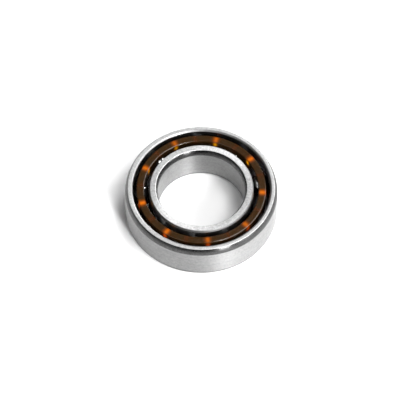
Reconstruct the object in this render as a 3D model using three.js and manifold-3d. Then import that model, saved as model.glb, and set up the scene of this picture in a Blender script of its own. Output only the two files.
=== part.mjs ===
// An open single-row deep-groove ball bearing with a one-piece crown cage, lying flat.
// Millimetres, +Z up along the bearing's axis, origin in the middle of the bore at mid width.
import * as THREE from "three";
import { mergeVertices } from "three/addons/utils/BufferGeometryUtils.js";
import Module from "manifold-3d";

// Driving dimensions.
const OUTER_DIAMETER = 25.4;
const BORE_DIAMETER = 14.4;
const WIDTH = 6.6;
const BALL_DIAMETER = 3.572; // 9/64 inch
const BALL_COUNT = 9;
const FIRST_BALL_ANGLE = THREE.MathUtils.degToRad(16);

// The shoulders stand either side of each raceway. A corner breaks a ring's mounting edge and a lip
// breaks its shoulder's edge; the flat land lies between the two. The corners on top, where a shaft or a
// housing enters, are larger than the bottom ones.
const OUTER_SHOULDER_RADIUS = 11.42;
const INNER_SHOULDER_RADIUS = 8.72;
const OUTER_TOP_CORNER = { radial: 0.5, axial: 1.15 };
const OUTER_LIP = { radial: 0.26, axial: 0.24 };
const BORE_TOP_CORNER = { radial: 0.4, axial: 1.05 };
const INNER_LIP = { radial: 0.19, axial: 0.44 };
const BOTTOM_CORNER = { radial: 0.25, axial: 0.45 };
const CORNER_TANGENT = 0.45; // where a corner's control point stands below the face, as a share of its height

// The crown cage is a ring above the balls, with prongs that reach down past their middles.
const CAGE_INNER_RADIUS = 9.56;
const CAGE_OUTER_RADIUS = 10.75;
const CAGE_SINK = 0.32; // how far its flat face lies below the rings' faces
const PRONG_REACH = 1.2; // from the balls' centres down to the prongs' tips
const CAGE_EDGE = 0.16;
const NOTCH_ROOT_RADIUS = 0.7;
const NOTCH_MOUTH_HALF_WIDTH = 1.35;

// Running gaps, which let the bearing turn freely.
const GROOVE_GAP = 0.08;
const POCKET_GAP = 0.12;

// Worked out from the above.
const BALL_RADIUS = BALL_DIAMETER / 2;
const PITCH_RADIUS = (OUTER_SHOULDER_RADIUS + INNER_SHOULDER_RADIUS) / 2;
const GROOVE_RADIUS = BALL_RADIUS + GROOVE_GAP;
const POCKET_RADIUS = BALL_RADIUS + POCKET_GAP;
const TOP = WIDTH / 2;
const CAGE_TOP = TOP - CAGE_SINK;
const BALL_STEP = (2 * Math.PI) / BALL_COUNT;

// How finely the round shapes are divided.
const RING_SEGMENTS = 72;
const CURVE_STEPS = 3;
const BALL_SEGMENTS = { around: 18, upright: 10 };
const POCKET_SEGMENTS = { around: 24, upright: 14 };

const wasm = await Module();
wasm.setup();

// A closed geometry as a solid that can be cut.
function solidOf(geometry) {
  const bare = geometry.clone();
  bare.deleteAttribute("normal");
  bare.deleteAttribute("uv");
  const merged = mergeVertices(bare);
  return new wasm.Manifold(
    new wasm.Mesh({
      numProp: 3,
      vertProperties: merged.getAttribute("position").array,
      triVerts: new Uint32Array(merged.index.array),
    }),
  );
}

function geometryOf(solid) {
  const { numProp, vertProperties, triVerts } = solid.getMesh();
  const geometry = new THREE.BufferGeometry();
  geometry.setAttribute("position", new THREE.BufferAttribute(vertProperties, numProp));
  geometry.setIndex(new THREE.BufferAttribute(triVerts, 1));
  const flat = geometry.toNonIndexed();
  flat.computeVertexNormals();
  return flat;
}

// Turns a closed cross-section, given as radius and height, about the bearing's axis.
function turned(profile) {
  const outline = THREE.ShapeUtils.isClockWise(profile) ? [...profile].reverse() : profile;
  return new THREE.LatheGeometry([...outline, outline[0]], RING_SEGMENTS).rotateX(Math.PI / 2);
}

// The upper half of a ring's cross-section: from the mounting surface round the corner, which leaves that
// surface smoothly and meets the land at an edge, over the land and the lip, down the shoulder and along
// the raceway to its deepest point at mid width.
function halfRingProfile({ mountRadius, corner, shoulderRadius, lip }) {
  const toBalls = Math.sign(shoulderRadius - mountRadius);
  const shoulderAngle = Math.acos(Math.abs(shoulderRadius - PITCH_RADIUS) / GROOVE_RADIUS);
  const isOuter = toBalls < 0;

  const path = new THREE.Path();
  path.moveTo(mountRadius, TOP - corner.axial);
  path.quadraticCurveTo(
    mountRadius,
    TOP - CORNER_TANGENT * corner.axial,
    mountRadius + toBalls * corner.radial,
    TOP,
  );
  path.lineTo(shoulderRadius - toBalls * lip.radial, TOP);
  path.lineTo(shoulderRadius, TOP - lip.axial);
  path.absarc(
    PITCH_RADIUS,
    0,
    GROOVE_RADIUS,
    isOuter ? shoulderAngle : Math.PI - shoulderAngle,
    isOuter ? 0 : Math.PI,
    isOuter,
  );
  return path.getPoints(CURVE_STEPS);
}

// A whole ring: an upper half, and a lower half turned over, which share the raceway's deepest point.
function ringGeometry({ topCorner, ...shape }) {
  const upper = halfRingProfile({ ...shape, corner: topCorner });
  const lower = halfRingProfile({ ...shape, corner: BOTTOM_CORNER });
  const turnedOver = lower.slice(0, -1).reverse().map((point) => new THREE.Vector2(point.x, -point.y));
  return turned([...upper, ...turnedOver]);
}

// The cage before its pockets are cut: a plain ring with its four edges chamfered.
function cageBlank() {
  const [inside, outside] = [CAGE_INNER_RADIUS, CAGE_OUTER_RADIUS];
  const outline = [
    [inside, -PRONG_REACH + CAGE_EDGE],
    [inside + CAGE_EDGE, -PRONG_REACH],
    [outside - CAGE_EDGE, -PRONG_REACH],
    [outside, -PRONG_REACH + CAGE_EDGE],
    [outside, CAGE_TOP - CAGE_EDGE],
    [outside - CAGE_EDGE, CAGE_TOP],
    [inside + CAGE_EDGE, CAGE_TOP],
    [inside, CAGE_TOP - CAGE_EDGE],
  ];
  return turned(outline.map(([radius, height]) => new THREE.Vector2(radius, height)));
}

// A ball-shaped cutter with its poles on the bearing's direction, like the balls themselves.
function ballGeometry(radius, segments) {
  return new THREE.SphereGeometry(radius, segments.around, segments.upright).rotateX(Math.PI / 2);
}

// The space between two prongs: a slot with a round root that widens towards the tips, cut radially.
function notchCutter() {
  const mouth = -PRONG_REACH - CAGE_EDGE;
  const outline = new THREE.Shape();
  outline.moveTo(-NOTCH_MOUTH_HALF_WIDTH, mouth);
  outline.lineTo(NOTCH_MOUTH_HALF_WIDTH, mouth);
  outline.lineTo(NOTCH_ROOT_RADIUS, 0);
  outline.absarc(0, 0, NOTCH_ROOT_RADIUS, 0, Math.PI, false);
  const depth = 2 * (CAGE_OUTER_RADIUS - CAGE_INNER_RADIUS);
  return new THREE.ExtrudeGeometry(outline, { depth, bevelEnabled: false, curveSegments: 2 * CURVE_STEPS })
    .translate(0, 0, -depth / 2)
    .applyMatrix4(new THREE.Matrix4().makeBasis(
      new THREE.Vector3(0, 1, 0),
      new THREE.Vector3(0, 0, 1),
      new THREE.Vector3(1, 0, 0),
    ))
    .translate(PITCH_RADIUS, 0, 0);
}

function ballAngle(index) {
  return FIRST_BALL_ANGLE + index * BALL_STEP;
}

function cageGeometry() {
  const pocket = ballGeometry(POCKET_RADIUS, POCKET_SEGMENTS).translate(PITCH_RADIUS, 0, 0);
  const notch = notchCutter();
  let cage = solidOf(cageBlank());
  for (let index = 0; index < BALL_COUNT; index += 1) {
    const angle = ballAngle(index);
    cage = cage.subtract(solidOf(pocket.clone().rotateZ(angle)));
    cage = cage.subtract(solidOf(notch.clone().rotateZ(angle + BALL_STEP / 2)));
  }
  return geometryOf(cage);
}

const groundSteel = { color: 0xc9cacb, roughness: 0.38, metalness: 1 };
const polishedSteel = { color: 0xd8dadb, roughness: 0.08, metalness: 1 };
const amberPolymer = { color: 0x7a4213, roughness: 0.3, metalness: 0 };

function piece(name, geometry, finish) {
  const mesh = new THREE.Mesh(geometry, new THREE.MeshStandardMaterial(finish));
  mesh.name = name;
  return mesh;
}

function ball(index) {
  const mesh = piece(`ball_${index + 1}`, ballGeometry(BALL_RADIUS, BALL_SEGMENTS), polishedSteel);
  const angle = ballAngle(index);
  mesh.position.set(PITCH_RADIUS * Math.cos(angle), PITCH_RADIUS * Math.sin(angle), 0);
  mesh.rotation.z = angle;
  return mesh;
}

const outerRing = ringGeometry({
  mountRadius: OUTER_DIAMETER / 2,
  topCorner: OUTER_TOP_CORNER,
  shoulderRadius: OUTER_SHOULDER_RADIUS,
  lip: OUTER_LIP,
});
const innerRing = ringGeometry({
  mountRadius: BORE_DIAMETER / 2,
  topCorner: BORE_TOP_CORNER,
  shoulderRadius: INNER_SHOULDER_RADIUS,
  lip: INNER_LIP,
});

const bearing = new THREE.Group();
bearing.add(piece("outer_ring", outerRing, groundSteel));
bearing.add(piece("inner_ring", innerRing, groundSteel));
bearing.add(piece("cage", cageGeometry(), amberPolymer));
for (let index = 0; index < BALL_COUNT; index += 1) {
  bearing.add(ball(index));
}

export default bearing;
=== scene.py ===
import math

import bmesh
import bpy
from mathutils import Matrix, Vector


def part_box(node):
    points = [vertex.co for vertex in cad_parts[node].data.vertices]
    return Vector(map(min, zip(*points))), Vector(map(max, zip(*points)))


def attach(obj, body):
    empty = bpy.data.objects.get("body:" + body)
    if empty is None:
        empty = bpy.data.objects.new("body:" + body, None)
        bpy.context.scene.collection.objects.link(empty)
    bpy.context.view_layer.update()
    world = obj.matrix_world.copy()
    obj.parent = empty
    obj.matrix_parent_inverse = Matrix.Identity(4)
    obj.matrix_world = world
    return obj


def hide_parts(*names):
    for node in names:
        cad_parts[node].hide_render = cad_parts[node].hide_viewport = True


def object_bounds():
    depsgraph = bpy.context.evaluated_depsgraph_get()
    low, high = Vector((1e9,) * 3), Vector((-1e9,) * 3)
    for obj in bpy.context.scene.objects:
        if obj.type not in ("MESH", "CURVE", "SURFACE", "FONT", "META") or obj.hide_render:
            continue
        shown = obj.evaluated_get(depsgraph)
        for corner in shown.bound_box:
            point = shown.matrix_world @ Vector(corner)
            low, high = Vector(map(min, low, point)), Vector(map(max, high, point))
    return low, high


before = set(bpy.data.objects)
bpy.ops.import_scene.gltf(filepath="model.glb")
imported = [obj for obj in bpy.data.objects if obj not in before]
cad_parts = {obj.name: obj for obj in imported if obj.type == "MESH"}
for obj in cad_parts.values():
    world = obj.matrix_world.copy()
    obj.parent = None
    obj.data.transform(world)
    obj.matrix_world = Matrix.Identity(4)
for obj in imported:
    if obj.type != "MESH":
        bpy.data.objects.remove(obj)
cad_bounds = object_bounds()

# An open ball bearing lying flat on a pale floor. Metres, +Z up along the bearing's axis.
# Every size that the frame holds is measured from it; the rest are named here.
MM = 0.001
TOUCH = 0.002 * MM  # two heights or radii this close are the same

SEGMENTS = 360  # round the turned pieces
CURVE_STEPS = 14
EDGE_STEPS = 4
EDGE_BREAK = 0.05 * MM  # the tiny radius that tumbling leaves on a ring's edges
HOLD_FLAT = 1.4  # where a flat's shading starts, as a share of the round's size
CAGE_FILLET = 0.11 * MM
CORNER_TANGENT = 0.45  # where a corner's control point stands, as a share of its height

NOTCH_ROOT_RADIUS = 0.7 * MM
NOTCH_MOUTH_HALF_WIDTH = 1.35 * MM
POCKET_SEGMENTS = (96, 48)  # around and upright
BALL_SUBDIVISIONS = 5
SMOOTH_ANGLE = math.radians(32)  # a steeper fold than this stays sharp

BALLS = sorted(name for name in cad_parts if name.startswith("ball_"))


# ---------------------------------------------------------------- measuring the frame

def cross_section(node):
    """The vertices of a node that lies on the bearing's axis, as (radius, height) pairs."""
    return [(math.hypot(v.co.x, v.co.y), v.co.z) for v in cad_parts[node].data.vertices]


def ball_centre(node):
    low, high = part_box(node)
    return (low + high) / 2


def ball_radius(node):
    low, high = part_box(node)
    return (high.z - low.z) / 2


PITCH_RADIUS = sum(ball_centre(b).xy.length for b in BALLS) / len(BALLS)
BALL_STEP = 2 * math.pi / len(BALLS)
FIRST_BALL_ANGLE = math.atan2(ball_centre("ball_1").y, ball_centre("ball_1").x)


def ring_sizes(node, side):
    """A ring's radii and edge sizes on its upper side (1), or on its lower side (-1) as if turned over.
    The mounting surface lies furthest from the balls' pitch circle, and the shoulder nearest to it."""
    section = [(radius, side * height) for radius, height in cross_section(node)]
    top = max(height for _, height in section)
    from_pitch = sorted({radius for radius, _ in section}, key=lambda radius: abs(radius - PITCH_RADIUS))
    mount, shoulder = from_pitch[-1], from_pitch[0]
    land = [radius for radius, height in section if height > top - TOUCH]
    return {
        "top": top,
        "mount": mount,
        "shoulder": shoulder,
        "land": (max(land), min(land)) if mount > shoulder else (min(land), max(land)),
        "corner_height": top - max(z for radius, z in section if abs(radius - mount) < TOUCH),
        "lip_height": top - max(z for radius, z in section if abs(radius - shoulder) < TOUCH),
        "groove": next(abs(r - PITCH_RADIUS) for r, z in section if abs(z) < TOUCH and r != mount),
    }


def cage_sizes():
    section = cross_section("cage")
    centres = [ball_centre(b) for b in BALLS]
    vertices = [v.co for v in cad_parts["cage"].data.vertices]
    return {
        "inside": min(radius for radius, _ in section),
        "outside": max(radius for radius, _ in section),
        "top": max(height for _, height in section),
        "bottom": min(height for _, height in section),
        "pocket": min((co - centre).length for co in vertices for centre in centres),
    }


# ---------------------------------------------------------------- outlines

def curve(start, control, end, steps):
    """Points of a quadratic curve from start to end, both included."""
    points = []
    for step in range(steps + 1):
        t = step / steps
        points.append((1 - t) ** 2 * start + 2 * t * (1 - t) * control + t ** 2 * end)
    return points


def broken_edge(before, corner, after, size):
    """A sharp outline point replaced by a small round. A point past each end keeps the flat sides' shading
    flat."""
    backwards = (before - corner).normalized() * size
    onwards = (after - corner).normalized() * size
    rounded = curve(corner + backwards, corner, corner + onwards, EDGE_STEPS)
    return [corner + backwards * HOLD_FLAT] + rounded + [corner + onwards * HOLD_FLAT]


def arc(centre, radius, start, end, steps):
    """Points of a circle from the start angle to the end angle, both included."""
    angles = [start + (end - start) * step / steps for step in range(steps + 1)]
    return [centre + radius * Vector((math.cos(a), math.sin(a))) for a in angles]


def ring_half_outline(node, side):
    """One half of a ring's cross-section, from mid width on its mounting surface to the bottom of its
    raceway, as (point, zone) pairs. The lower half comes turned over. A zone names the finish of the band
    that starts at its point."""
    sizes = ring_sizes(node, side)
    is_outer = sizes["mount"] > sizes["shoulder"]
    land_start = Vector((sizes["land"][0], sizes["top"]))
    land_end = Vector((sizes["land"][1], sizes["top"]))
    corner_start = Vector((sizes["mount"], sizes["top"] - sizes["corner_height"]))
    corner_control = Vector((sizes["mount"], sizes["top"] - CORNER_TANGENT * sizes["corner_height"]))
    lip_end = Vector((sizes["shoulder"], sizes["top"] - sizes["lip_height"]))
    shoulder_angle = math.acos(abs(sizes["shoulder"] - PITCH_RADIUS) / sizes["groove"])
    pitch = Vector((PITCH_RADIUS, 0))
    if is_outer:
        raceway = arc(pitch, sizes["groove"], shoulder_angle, 0, CURVE_STEPS)
    else:
        raceway = arc(pitch, sizes["groove"], math.pi - shoulder_angle, math.pi, CURVE_STEPS)

    corner = curve(corner_start, corner_control, land_start, CURVE_STEPS)
    zoned = [
        ([Vector((sizes["mount"], 0))], "cylinder"),
        (corner[:-1], "corner"),
        (broken_edge(corner[-2], land_start, land_end, EDGE_BREAK), "face"),
        (broken_edge(land_start, land_end, lip_end, EDGE_BREAK), "lip"),
        (broken_edge(land_end, lip_end, raceway[0], EDGE_BREAK), "shoulder"),
        (broken_edge(lip_end, raceway[0], raceway[1], EDGE_BREAK), "raceway"),
        (raceway[1:], "raceway"),
    ]
    return [(point, zone) for points, zone in zoned for point in points]


def ring_outline(node):
    """A ring's whole closed outline, and the zone of each band. Its halves share their end points."""
    upper = ring_half_outline(node, 1)
    lower = ring_half_outline(node, -1)
    points = [point for point, _ in upper]
    points += [Vector((point.x, -point.y)) for point, _ in reversed(lower[1:-1])]
    zones = [zone for _, zone in upper[:-1]] + [zone for _, zone in reversed(lower[:-1])]
    return points, zones


def cage_outline():
    sizes = cage_sizes()
    corners = [
        Vector((sizes["inside"], sizes["bottom"])),
        Vector((sizes["outside"], sizes["bottom"])),
        Vector((sizes["outside"], sizes["top"])),
        Vector((sizes["inside"], sizes["top"])),
    ]
    outline = []
    for index, corner in enumerate(corners):
        following = corners[(index + 1) % len(corners)]
        outline += broken_edge(corners[index - 1], corner, following, CAGE_FILLET)
    return outline


# ---------------------------------------------------------------- meshes

def new_object(name, mesh):
    piece = bpy.data.objects.new(name, mesh)
    bpy.context.scene.collection.objects.link(piece)
    return piece


def smooth(mesh):
    mesh.shade_smooth()
    mesh.set_sharp_from_angle(angle=SMOOTH_ANGLE)


def turned(name, outline, finishes, zones=None):
    """A closed outline of (radius, height) points turned about the bearing's axis. Each entry of zones is
    the number of one band's finish."""
    count = len(outline)
    vertices = []
    for turn in range(SEGMENTS):
        angle = 2 * math.pi * turn / SEGMENTS
        vertices += [(p.x * math.cos(angle), p.x * math.sin(angle), p.y) for p in outline]
    faces = []
    for turn in range(SEGMENTS):
        here, there = turn * count, (turn + 1) % SEGMENTS * count
        for index in range(count):
            following = (index + 1) % count
            faces.append((here + index, there + index, there + following, here + following))
    mesh = bpy.data.meshes.new(name)
    mesh.from_pydata(vertices, [], faces)
    for finish in finishes:
        mesh.materials.append(FINISHES[finish])
    if zones:
        mesh.polygons.foreach_set("material_index", zones * SEGMENTS)
    outwards(mesh)
    smooth(mesh)
    return new_object(name, mesh)


def outwards(mesh):
    """Makes every face look out of its solid."""
    edit = bmesh.new()
    edit.from_mesh(mesh)
    bmesh.ops.recalc_face_normals(edit, faces=edit.faces)
    edit.to_mesh(mesh)
    edit.free()


def pocket_cutters():
    """The spheres that hollow the pockets, one for each ball, as one mesh."""
    edit = bmesh.new()
    around, upright = POCKET_SEGMENTS
    for node in BALLS:
        bmesh.ops.create_uvsphere(
            edit,
            u_segments=around,
            v_segments=upright,
            radius=cage_sizes()["pocket"],
            matrix=Matrix.Translation(ball_centre(node)),
        )
    mesh = bpy.data.meshes.new("pocket_cutters")
    edit.to_mesh(mesh)
    edit.free()
    return new_object("pocket_cutters", mesh)


def notch_outline():
    """A slot between two prongs, as (across, height) points: a round root that widens to the mouth."""
    mouth = cage_sizes()["bottom"] - CAGE_FILLET
    root = arc(Vector((0, 0)), NOTCH_ROOT_RADIUS, 0, math.pi, 2 * CURVE_STEPS)
    return [Vector((-NOTCH_MOUTH_HALF_WIDTH, mouth)), Vector((NOTCH_MOUTH_HALF_WIDTH, mouth))] + root


def notch_cutters():
    """A slot between each two balls, cut radially through the cage, as one mesh."""
    sizes = cage_sizes()
    near, far = sizes["inside"] - CAGE_FILLET, sizes["outside"] + CAGE_FILLET
    outline = notch_outline()
    edit = bmesh.new()
    for index in range(len(BALLS)):
        turn = Matrix.Rotation(FIRST_BALL_ANGLE + (index + 0.5) * BALL_STEP, 4, "Z")
        inner = [edit.verts.new(turn @ Vector((near, p.x, p.y))) for p in outline]
        outer = [edit.verts.new(turn @ Vector((far, p.x, p.y))) for p in outline]
        edit.faces.new(inner)
        edit.faces.new(outer)
        for here in range(len(outline)):
            following = (here + 1) % len(outline)
            edit.faces.new((inner[here], inner[following], outer[following], outer[here]))
    bmesh.ops.recalc_face_normals(edit, faces=edit.faces)
    mesh = bpy.data.meshes.new("notch_cutters")
    edit.to_mesh(mesh)
    edit.free()
    return new_object("notch_cutters", mesh)


def apply_modifiers(piece):
    """Makes what the modifiers show the piece's own mesh."""
    evaluated = piece.evaluated_get(bpy.context.evaluated_depsgraph_get())
    mesh = bpy.data.meshes.new_from_object(evaluated)
    piece.modifiers.clear()
    piece.data = mesh


def cut(piece, cutters):
    """Takes the cutters' space out of the piece, and removes the cutters."""
    cutting = piece.modifiers.new("cut", "BOOLEAN")
    cutting.operation = "DIFFERENCE"
    cutting.solver = "MANIFOLD"
    cutting.object = cutters
    apply_modifiers(piece)
    bpy.data.objects.remove(cutters)


def crown_cage():
    cage = turned("crown_cage", cage_outline(), ["cage"])
    cut(cage, pocket_cutters())
    cut(cage, notch_cutters())
    smooth(cage.data)
    return cage


def steel_ball(node):
    edit = bmesh.new()
    bmesh.ops.create_icosphere(edit, subdivisions=BALL_SUBDIVISIONS, radius=ball_radius(node))
    mesh = bpy.data.meshes.new("steel_" + node)
    edit.to_mesh(mesh)
    edit.free()
    mesh.materials.append(FINISHES["ball"])
    mesh.shade_smooth()
    piece = new_object("steel_" + node, mesh)
    piece.location = ball_centre(node)
    return piece


# ---------------------------------------------------------------- materials

class Nodes:
    """Short calls for the nodes of one material."""

    def __init__(self, name):
        self.material = bpy.data.materials.new(name)
        self.material.use_nodes = True
        self.tree = self.material.node_tree
        self.shader = self.tree.nodes["Principled BSDF"]

    def node(self, kind, **inputs):
        node = self.tree.nodes.new(kind)
        for name, value in inputs.items():
            self.set(node.inputs[name.replace("_", " ")], value)
        return node

    def set(self, socket, value):
        if isinstance(value, bpy.types.NodeSocket):
            self.tree.links.new(value, socket)
        else:
            socket.default_value = value

    def math(self, operation, *values):
        node = self.tree.nodes.new("ShaderNodeMath")
        node.operation = operation
        for socket, value in zip(node.inputs, values):
            self.set(socket, value)
        return node.outputs[0]

    def place(self):
        """Where the shaded point is on the object: its x, y and z."""
        coordinates = self.tree.nodes.new("ShaderNodeTexCoord")
        return self.node("ShaderNodeSeparateXYZ", Vector=coordinates.outputs["Object"]).outputs

    def around(self, x, y):
        """The radius, and the direction round the axis as a cosine and a sine, which have no seam."""
        squares = self.math("ADD", self.math("MULTIPLY", x, x), self.math("MULTIPLY", y, y))
        radius = self.math("SQRT", squares)
        return radius, self.math("DIVIDE", x, radius), self.math("DIVIDE", y, radius)

    def product(self, value, *factors):
        for factor in factors:
            value = self.math("MULTIPLY", value, factor)
        return value

    def weighted(self, *pairs):
        """The sum of the values in (value, weight) pairs, each times its weight."""
        total, *others = [self.math("MULTIPLY", value, weight) for value, weight in pairs]
        for other in others:
            total = self.math("ADD", total, other)
        return total

    def vector(self, x, y, z):
        return self.node("ShaderNodeCombineXYZ", X=x, Y=y, Z=z).outputs[0]

    def stretched(self, across, width, cosine, sine, along):
        """Where to read a noise that is stretched round the axis: width is the size of one of its cells
        across the lines, and along is how many cells fit in an arc as long as the radius."""
        return self.vector(
            self.math("DIVIDE", across, width),
            self.math("MULTIPLY", cosine, along),
            self.math("MULTIPLY", sine, along),
        )

    def noise(self, vector, scale=1.0, detail=4.0, roughness=0.6):
        node = self.node("ShaderNodeTexNoise", Vector=vector, Scale=scale, Detail=detail, Roughness=roughness)
        return node.outputs["Fac"]

    def ramp(self, value, low, high, to_low, to_high, kind="LINEAR"):
        """The value moved from the range low to high into the range to_low to to_high, and kept inside it."""
        node = self.node("ShaderNodeMapRange", Value=value)
        node.interpolation_type = kind
        node.inputs["From Min"].default_value = low
        node.inputs["From Max"].default_value = high
        node.inputs["To Min"].default_value = to_low
        node.inputs["To Max"].default_value = to_high
        return node.outputs[0]

    def mix(self, factor, first, second):
        node = self.tree.nodes.new("ShaderNodeMix")
        node.data_type = "RGBA"
        self.set(node.inputs["Factor"], factor)
        colours = [socket for socket in node.inputs if socket.type == "RGBA"]
        self.set(colours[0], first)
        self.set(colours[1], second)
        return next(socket for socket in node.outputs if socket.type == "RGBA")

    def bump(self, height, strength, distance):
        node = self.node("ShaderNodeBump", Height=height, Strength=strength, Distance=distance)
        return node.outputs[0]

    def round_tangent(self):
        """The direction round the axis, along which grinding lines run."""
        tangent = self.tree.nodes.new("ShaderNodeTangent")
        tangent.direction_type = "RADIAL"
        tangent.axis = "Z"
        return tangent.outputs[0]

    def finish(self, **inputs):
        """The material, once these inputs of its shader are set."""
        for name, value in inputs.items():
            self.set(self.shader.inputs[name.replace("_", " ")], value)
        return self.material


# A noise keeps mostly within these values, so each look is spread over them.
STREAK_RANGE = (0.38, 0.62)
CLOUD_RANGE = (0.35, 0.65)

# How far the lines' main direction of shine is turned from the circular one, in whole turns.
ACROSS_LINES, SPIRAL_LINES = 0.25, 0.44

# Streaked steel: its marks' shares of the look, the size of the broad streaks against the fine lines, and
# the size of the grain.
LINE_SHARE, BROAD_SHARE, GRAIN_SHARE = 0.3, 0.2, 0.5
BROAD_WIDER, BROAD_LONGER = 12, 5
STREAK_GRAIN = 0.4 * MM
STREAK_SWING = 0.05  # how far the roughness goes either way
STREAK_BUMP = 0.35

# A ground face, in the same terms.
FACE_LINE_SHARE, FACE_GRAIN_SHARE = 0.3, 0.7
FACE_LINE_WIDTH = 0.05 * MM
FACE_LINE_ALONG = 8
FACE_GRAIN = 0.38 * MM
FACE_SWING = 0.07
FACE_BUMP, FACE_DEPTH = 0.3, 0.006 * MM

# A lapped ball.
BALL_CLOUD = 0.6 * MM
BALL_DARK, BALL_LIGHT = 0.22, 0.28
BALL_SMOOTHEST, BALL_ROUGHEST = 0.09, 0.15

# The cage's colours: its own browns, a painted highlight red over the balls, a painted glow orange and amber
# for the webs, and the painted light at its two walls.
OLIVE_BROWN = (0.019, 0.010, 0.003, 1)
RED_BROWN = (0.025, 0.010, 0.002, 1)
# a painted highlight: a lamp shining on a ball, seen through the polymer
BALL_HIGHLIGHT_RED = (0.075, 0.012, 0.002, 1)
# painted glow: light through the webs, painted as colour
PAINTED_GLOW_ORANGE = (0.15, 0.030, 0.001, 1)
PAINTED_GLOW_AMBER = (0.40, 0.085, 0.001, 1)
INNER_WALL_LIGHT = (0.80, 0.32, 0.0, 1)
OUTER_WALL_LIGHT = (0.50, 0.05, 0.0, 1)
DARK = (0, 0, 0, 1)

# The cage's marks, its painted glows and its painted highlights. A larger sharpness makes a mark narrower
# round the axis.
CAGE_CLOUD, CAGE_GRAIN = 0.9 * MM, 0.15 * MM
FLOW_WIDTH, FLOW_ALONG = 0.5 * MM, 6
GLOW_SHARPNESS, CORE_SHARPNESS, WALL_SHARPNESS = 18.0, 30.0, 60.0
BALL_HIGHLIGHT_SHARPNESS, BALL_HIGHLIGHT_SHARE = 30.0, 0.22
GLOW_IN_LINE, GLOW_ACROSS = 1.0, 0.5  # in line with the first ball, and at right angles to it
GLOW_FULL, GLOW_FADED = 0.2 * MM, 0.6 * MM  # distances from the middle of the face
GLOW_AT_EDGE = 0.35
WALL_START, WALL_FULL = 0.34 * MM, 0.56 * MM  # distances from the middle of the face
WALL_LIGHT_DEPTH = 0.6 * MM  # below the face
WALL_LIGHT_FULL, WALL_LIGHT_GONE = 0.2 * MM, 0.6 * MM  # distances from that depth
MARKS_RANGE = (0.7, 1.3)  # where the sum of grain and flow mostly keeps
CAGE_SMOOTHEST, CAGE_ROUGHEST = 0.08, 0.16
CAGE_BUMP, CAGE_DEPTH = 0.12, 0.01 * MM
POLYMER_IOR = 1.5


def grey(value):
    return (value, value, value, 1)


def streaked_steel(name, dark, light, roughness, line_width, line_length, depth, anisotropy):
    """Steel with fine lines round the bearing's axis, side by side along its height. line_width and
    line_length are the size of a typical line."""
    nodes = Nodes(name)
    x, y, z = nodes.place()
    _, cosine, sine = nodes.around(x, y)
    along = PITCH_RADIUS / line_length
    lines = nodes.noise(nodes.stretched(z, line_width, cosine, sine, along))
    broad_place = nodes.stretched(z, BROAD_WIDER * line_width, cosine, sine, along / BROAD_LONGER)
    broad = nodes.noise(broad_place, detail=2.0)
    grain = nodes.noise(nodes.vector(x, y, z), scale=1 / STREAK_GRAIN, roughness=0.7)
    marks = nodes.weighted((lines, LINE_SHARE), (broad, BROAD_SHARE), (grain, GRAIN_SHARE))
    return nodes.finish(
        Base_Color=nodes.mix(nodes.ramp(marks, *STREAK_RANGE, 0, 1), grey(dark), grey(light)),
        Metallic=1.0,
        Roughness=nodes.ramp(marks, *STREAK_RANGE, roughness + STREAK_SWING, roughness - STREAK_SWING),
        Anisotropic=anisotropy,
        Anisotropic_Rotation=ACROSS_LINES,
        Tangent=nodes.round_tangent(),
        Normal=nodes.bump(nodes.math("ADD", lines, grain), STREAK_BUMP, depth),
    )


def ground_face(name, dark, light, roughness, anisotropy):
    """A flat land: fine grinding lines under a grain of short scratches and pits."""
    nodes = Nodes(name)
    x, y, z = nodes.place()
    radius, cosine, sine = nodes.around(x, y)
    lines = nodes.noise(nodes.stretched(radius, FACE_LINE_WIDTH, cosine, sine, FACE_LINE_ALONG))
    grain = nodes.noise(nodes.vector(x, y, z), scale=1 / FACE_GRAIN, detail=5.0, roughness=0.75)
    marks = nodes.weighted((lines, FACE_LINE_SHARE), (grain, FACE_GRAIN_SHARE))
    return nodes.finish(
        Base_Color=nodes.mix(nodes.ramp(marks, *STREAK_RANGE, 0, 1), grey(dark), grey(light)),
        Metallic=1.0,
        Roughness=nodes.ramp(marks, *STREAK_RANGE, roughness + FACE_SWING, roughness - FACE_SWING),
        Anisotropic=anisotropy,
        Anisotropic_Rotation=SPIRAL_LINES,
        Tangent=nodes.round_tangent(),
        Normal=nodes.bump(grain, FACE_BUMP, FACE_DEPTH),
    )


def lapped_ball():
    """Lapped steel: a mirror with a faint cloud in its colour and its shine."""
    nodes = Nodes("lapped_ball")
    x, y, z = nodes.place()
    cloud = nodes.noise(nodes.vector(x, y, z), scale=1 / BALL_CLOUD, detail=6.0, roughness=0.7)
    return nodes.finish(
        Base_Color=nodes.mix(nodes.ramp(cloud, *CLOUD_RANGE, 0, 1), grey(BALL_DARK), grey(BALL_LIGHT)),
        Metallic=1.0,
        Roughness=nodes.ramp(cloud, *CLOUD_RANGE, BALL_SMOOTHEST, BALL_ROUGHEST),
    )


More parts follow.
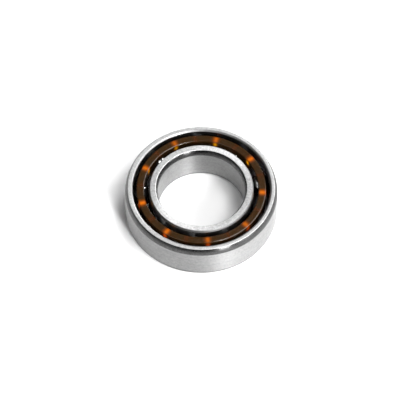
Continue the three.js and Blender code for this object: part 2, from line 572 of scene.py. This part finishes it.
def amber_cage():
    """Translucent amber polymer, dark brown, with a painted highlight as a faint red spot over each ball. The
    webs between the balls have a painted glow, as if they carried light up: softly in the face's colour, and
    as an emission where they meet the walls."""
    sizes = cage_sizes()
    middle = (sizes["inside"] + sizes["outside"]) / 2
    nodes = Nodes("amber_cage")
    x, y, z = nodes.place()
    radius, cosine, sine = nodes.around(x, y)
    angle = nodes.math("SUBTRACT", nodes.math("ARCTAN2", y, x), FIRST_BALL_ANGLE)
    over_ball = nodes.ramp(nodes.math("COSINE", nodes.math("MULTIPLY", angle, len(BALLS))), -1, 1, 0, 1)
    over_web = nodes.math("SUBTRACT", 1.0, over_ball)
    cloud = nodes.noise(nodes.vector(x, y, z), scale=1 / CAGE_CLOUD, detail=2.0)
    grain = nodes.noise(nodes.vector(x, y, z), scale=1 / CAGE_GRAIN)
    flow = nodes.noise(nodes.stretched(radius, FLOW_WIDTH, cosine, sine, FLOW_ALONG), detail=3.0)
    marks = nodes.math("ADD", grain, flow)

    # The colour of the face: its own brown, a painted highlight over each ball, and a painted glow over each
    # web, stronger in line with the first ball than at right angles to it.
    in_line = nodes.math("COSINE", nodes.math("MULTIPLY", angle, 2))
    light = nodes.ramp(in_line, -1, 1, GLOW_ACROSS, GLOW_IN_LINE)
    from_middle = nodes.math("ABSOLUTE", nodes.math("SUBTRACT", radius, middle))
    rounded = nodes.ramp(from_middle, GLOW_FULL, GLOW_FADED, 1.0, GLOW_AT_EDGE, "SMOOTHSTEP")
    painted_glow = nodes.product(nodes.math("POWER", over_web, GLOW_SHARPNESS), light, rounded)
    painted_glow_core = nodes.product(nodes.math("POWER", over_web, CORE_SHARPNESS), painted_glow)
    # A painted highlight: a faint red spot over each ball, where a lamp shines on the ball through the
    # polymer.
    painted_ball_highlight = nodes.product(nodes.math("POWER", over_ball, BALL_HIGHLIGHT_SHARPNESS), BALL_HIGHLIGHT_SHARE)
    colour = nodes.mix(nodes.ramp(cloud, *CLOUD_RANGE, 0, 1), OLIVE_BROWN, RED_BROWN)
    colour = nodes.mix(painted_ball_highlight, colour, BALL_HIGHLIGHT_RED)
    colour = nodes.mix(painted_glow, colour, PAINTED_GLOW_ORANGE)
    colour = nodes.mix(painted_glow_core, colour, PAINTED_GLOW_AMBER)

    # Painted light: an emission where the webs meet the inner and the outer wall, standing in for light
    # carried up through the polymer.
    near_wall = nodes.ramp(from_middle, WALL_START, WALL_FULL, 0, 1)
    from_depth = nodes.math("ABSOLUTE", nodes.math("SUBTRACT", z, sizes["top"] - WALL_LIGHT_DEPTH))
    near_depth = nodes.ramp(from_depth, WALL_LIGHT_FULL, WALL_LIGHT_GONE, 1, 0, "SMOOTHSTEP")
    narrow = nodes.product(nodes.math("POWER", over_web, WALL_SHARPNESS), light)
    at_wall = nodes.product(near_wall, near_depth, narrow)
    from_inside = nodes.ramp(radius, sizes["inside"], sizes["outside"], 0, 1)
    painted_wall_light = nodes.mix(from_inside, INNER_WALL_LIGHT, OUTER_WALL_LIGHT)

    return nodes.finish(
        Base_Color=colour,
        Roughness=nodes.ramp(marks, *MARKS_RANGE, CAGE_SMOOTHEST, CAGE_ROUGHEST),
        IOR=POLYMER_IOR,
        # The emission is painted light, not a lamp.
        Emission_Color=nodes.mix(at_wall, DARK, painted_wall_light),
        Emission_Strength=1.0,
        Normal=nodes.bump(marks, CAGE_BUMP, CAGE_DEPTH),
    )


FINISHES = {
    "outer_face": ground_face("outer_ground_face", 0.34, 0.54, 0.58, 0.0),
    "inner_face": ground_face("inner_ground_face", 0.36, 0.66, 0.5, 0.55),
    "ball": lapped_ball(),
    "cage": amber_cage(),
}
STREAKED_STEELS = {  # name, darkest and lightest grey, roughness, line width, length and depth, anisotropy
    "cylinder": ("ground_cylinder", 0.26, 0.36, 0.45, 0.035 * MM, 2.4 * MM, 0.004 * MM, 0.85),
    "corner": ("turned_corner", 0.06, 0.10, 0.27, 0.06 * MM, 5 * MM, 0.004 * MM, 0.9),
    "lip": ("turned_lip", 0.22, 0.34, 0.5, 0.05 * MM, 4 * MM, 0.004 * MM, 0.3),
    # The shoulders' grey is steel made darker by painted shade, for the deep gaps beside the cage where they
    # sit.
    "shoulder": ("turned_shoulder_painted_shade", 0.14, 0.20, 0.30, 0.05 * MM, 4 * MM, 0.004 * MM, 0.3),
    "raceway": ("honed_raceway", 0.30, 0.38, 0.2, 0.02 * MM, 3 * MM, 0.001 * MM, 0.2),
}
for zone, look in STREAKED_STEELS.items():
    FINISHES[zone] = streaked_steel(*look)

RING_ZONES = ["cylinder", "corner", "face", "lip", "shoulder", "raceway"]
RING_FINISHES = {
    "outer_ring": ["cylinder", "corner", "outer_face", "lip", "shoulder", "raceway"],
    "inner_ring": ["cylinder", "corner", "inner_face", "lip", "shoulder", "raceway"],
}


# ---------------------------------------------------------------- the studio

SOFTBOXES = {  # azimuth, elevation and spread in degrees, and strength
    "low_back": (60, 10, 24, 3.0),  # long shadow, and light down the bore
    "right_1": (30, 28, 24, 1.4),  # an even row on the right
    "right_2": (0, 28, 24, 1.4),
    "right_3": (-30, 28, 24, 1.4),
    "front_strip": (-60, 30, 12, 3.5),  # the sharp highlight on the near corner
    "high_front": (-30, 64, 24, 2.0),  # the flat lands
    "high_back": (60, 64, 24, 0.8),
    "high_left": (215, 64, 24, 0.5),
}
ROOM_WALLS, ROOM_CEILING = 0.01, 0.05  # strengths
FLOOR_SIZE = 6.0
FLOOR_GREY, FLOOR_ROUGHNESS = 0.86, 0.9
FIELD_OF_VIEW = math.radians(4.87)
CAMERA_ELEVATION = math.radians(56.44)
CAMERA_DISTANCE = 61.7  # in outer radii, as are the next two
AIM_LEFT = 0.017
AIM_BELOW_TOP = 0.29
CLIP_NEAR, CLIP_FAR = 0.01, 50


def direction(azimuth, elevation):
    level = math.cos(elevation)
    return Vector((level * math.cos(azimuth), level * math.sin(azimuth), math.sin(elevation)))


def facing(towards):
    """The rotation of a lamp or camera that looks against this direction, with +Z up in its view."""
    return towards.to_track_quat("Z", "Y").to_euler()


def floor(height):
    mesh = bpy.data.meshes.new("floor")
    half = FLOOR_SIZE / 2
    corners = [(-half, -half), (half, -half), (half, half), (-half, half)]
    mesh.from_pydata([(x, y, height) for x, y in corners], [], [(0, 1, 2, 3)])
    nodes = Nodes("paper_floor")
    mesh.materials.append(nodes.finish(Base_Color=grey(FLOOR_GREY), Roughness=FLOOR_ROUGHNESS))
    ground = new_object("floor", mesh)


def softboxes():
    """Large far lamps, which light the whole floor alike."""
    for name, (azimuth, elevation, spread, strength) in SOFTBOXES.items():
        lamp = bpy.data.lights.new(name, "SUN")
        lamp.energy = strength
        lamp.angle = math.radians(spread)
        towards = direction(math.radians(azimuth), math.radians(elevation))
        new_object(name, lamp).rotation_euler = facing(towards)


def room():
    """A dim room: dark walls round a paler ceiling."""
    world = bpy.data.worlds.new("room")
    bpy.context.scene.world = world
    world.use_nodes = True
    tree = world.node_tree
    background = tree.nodes["Background"]
    coordinates = tree.nodes.new("ShaderNodeTexCoord")
    split = tree.nodes.new("ShaderNodeSeparateXYZ")
    height = tree.nodes.new("ShaderNodeMapRange")
    height.interpolation_type = "SMOOTHSTEP"
    height.inputs["From Min"].default_value = 0.0
    height.inputs["From Max"].default_value = 1.0
    height.inputs["To Min"].default_value = ROOM_WALLS
    height.inputs["To Max"].default_value = ROOM_CEILING
    tree.links.new(coordinates.outputs["Generated"], split.inputs[0])
    tree.links.new(split.outputs["Z"], height.inputs["Value"])
    tree.links.new(height.outputs[0], background.inputs["Strength"])
    background.inputs["Color"].default_value = (1, 1, 1, 1)


def camera(radius, top):
    """A far camera in front of the bearing, placed by its outer radius and its top."""
    data = bpy.data.cameras.new("camera")
    data.sensor_fit = "HORIZONTAL"
    data.angle = FIELD_OF_VIEW
    data.clip_start = CLIP_NEAR
    data.clip_end = CLIP_FAR
    eye = new_object("camera", data)
    towards = direction(-math.pi / 2, CAMERA_ELEVATION)
    aim = Vector((-AIM_LEFT * radius, 0, top - AIM_BELOW_TOP * radius))
    eye.location = aim + towards * CAMERA_DISTANCE * radius
    eye.rotation_euler = facing(towards)
    bpy.context.scene.camera = eye


# ---------------------------------------------------------------- the bearing

def steel_ring(node):
    outline, zones = ring_outline(node)
    numbers = [RING_ZONES.index(zone) for zone in zones]
    ring = turned("steel_" + node, outline, RING_FINISHES[node], numbers)
    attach(ring, node)
    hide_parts(node)


steel_ring("outer_ring")
steel_ring("inner_ring")

cage = crown_cage()
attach(cage, "cage")
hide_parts("cage")

for node in BALLS:
    piece = steel_ball(node)
    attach(piece, node)
    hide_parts(node)

floor(cad_bounds[0][2])
softboxes()
room()
camera(cad_bounds[1][0], cad_bounds[1][2])
bpy.context.scene.view_settings.view_transform = "Standard"
